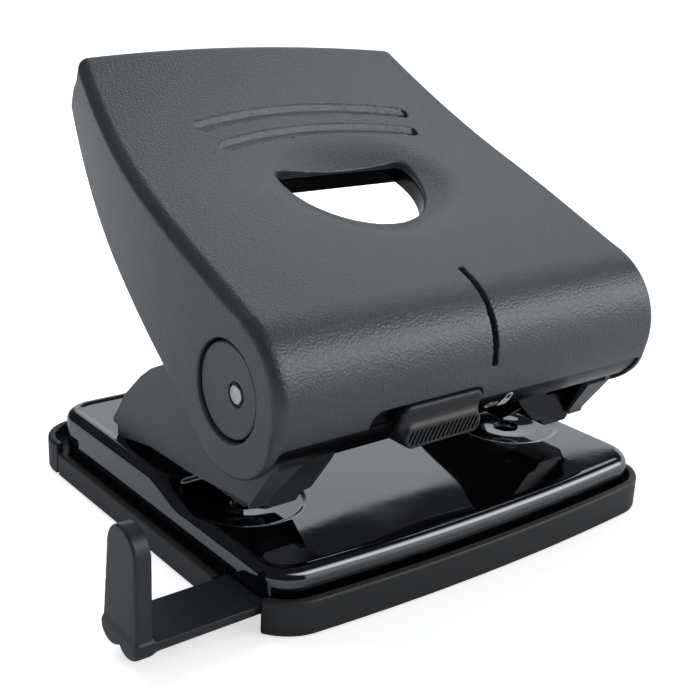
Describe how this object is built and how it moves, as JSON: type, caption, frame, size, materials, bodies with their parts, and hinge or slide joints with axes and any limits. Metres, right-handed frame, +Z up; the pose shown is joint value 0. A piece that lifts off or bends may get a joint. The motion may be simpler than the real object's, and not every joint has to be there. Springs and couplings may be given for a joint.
{
  "type": "two-hole desk punch",
  "caption": "Desk paper punch: wide hinged lever, spring-returned punch pins over dies, pressed steel base, hinged chip tray, side lock slider and sliding paper guide.",
  "frame": {"origin": "on the table under the punch, midway between the two punch pins", "axes": "+X to the right seen from the paper side, +Y from the paper side to the rear, +Z up"},
  "size_m": [0.1398, 0.1099, 0.1018],
  "materials": {
    "gloss_black_steel": "gloss black stove enamel on pressed steel",
    "black_frame": "semi-gloss black paint on steel",
    "satin_grey": "satin dark grey paint on steel",
    "bare_steel": "bright steel",
    "tray_plastic": "matt dark grey moulded plastic",
    "guide_plastic": "matt dark grey moulded plastic",
    "handle_plastic": "fine moulded grain, dark slate grey"
  },
  "bodies": {
    "base": {"base_plate": "gloss_black_steel", "die_left": "bare_steel", "die_right": "bare_steel", "rear_rail": "tray_plastic", "tray_hinge_pins": "bare_steel", "cheek_left": "satin_grey", "cheek_right": "satin_grey", "punch_frame_left": "black_frame", "punch_frame_right": "black_frame", "pin_bush_left": "bare_steel", "pin_bush_right": "bare_steel", "spring_left": "bare_steel", "spring_right": "bare_steel", "head_rivets": "bare_steel", "hinge_rod": "bare_steel", "rod_clips": "bare_steel"},
    "tray": {"chip_tray": "tray_plastic"},
    "guide": {"paper_guide": "guide_plastic"},
    "pin_l": {"punch_pin_left": "bare_steel", "pin_washer_left": "bare_steel"},
    "pin_r": {"punch_pin_right": "bare_steel", "pin_washer_right": "bare_steel"},
    "lever": {"lever_frame": "gloss_black_steel", "press_yoke": "black_frame", "yoke_rivets": "bare_steel", "handle_cover": "handle_plastic", "hinge_cap_left": "handle_plastic", "hinge_cap_right": "handle_plastic"},
    "lock": {"lock_slider": "handle_plastic"}
  },
  "joints": [
    {"name": "lever_hinge", "type": "hinge", "parent": "base", "child": "lever", "pos_m": [0, -0.0165, 0.0454], "axis": [-1, 0, 0], "range_deg": [0, 24], "stiffness_Nm_per_rad": 1.2, "springref_deg": -17.19},
    {"name": "pin_left_slide", "type": "slide", "parent": "base", "child": "pin_l", "axis": [0, 0, -1], "range_m": [0, 0.0071], "deforming": ["spring_left"]},
    {"name": "pin_right_slide", "type": "slide", "parent": "base", "child": "pin_r", "axis": [0, 0, -1], "range_m": [0, 0.0071], "deforming": ["spring_right"]},
    {"name": "tray_hinge", "type": "hinge", "parent": "base", "child": "tray", "pos_m": [0, 0.0606, 0.0029], "axis": [1, 0, 0], "range_deg": [0, 35]},
    {"name": "guide_slide", "type": "slide", "parent": "tray", "child": "guide", "axis": [1, 0, 0], "range_m": [-0.045, 0.0195]},
    {"name": "lock_slide", "type": "slide", "parent": "lever", "child": "lock", "axis": [-1, 0, 0], "range_m": [0, 0.007]}
  ],
  "couplings": [
    {"joint": "pin_left_slide", "follows": "lever_hinge", "m_per_rad": 0.01676},
    {"joint": "pin_right_slide", "follows": "lever_hinge", "m_per_rad": 0.01676}
  ]
}
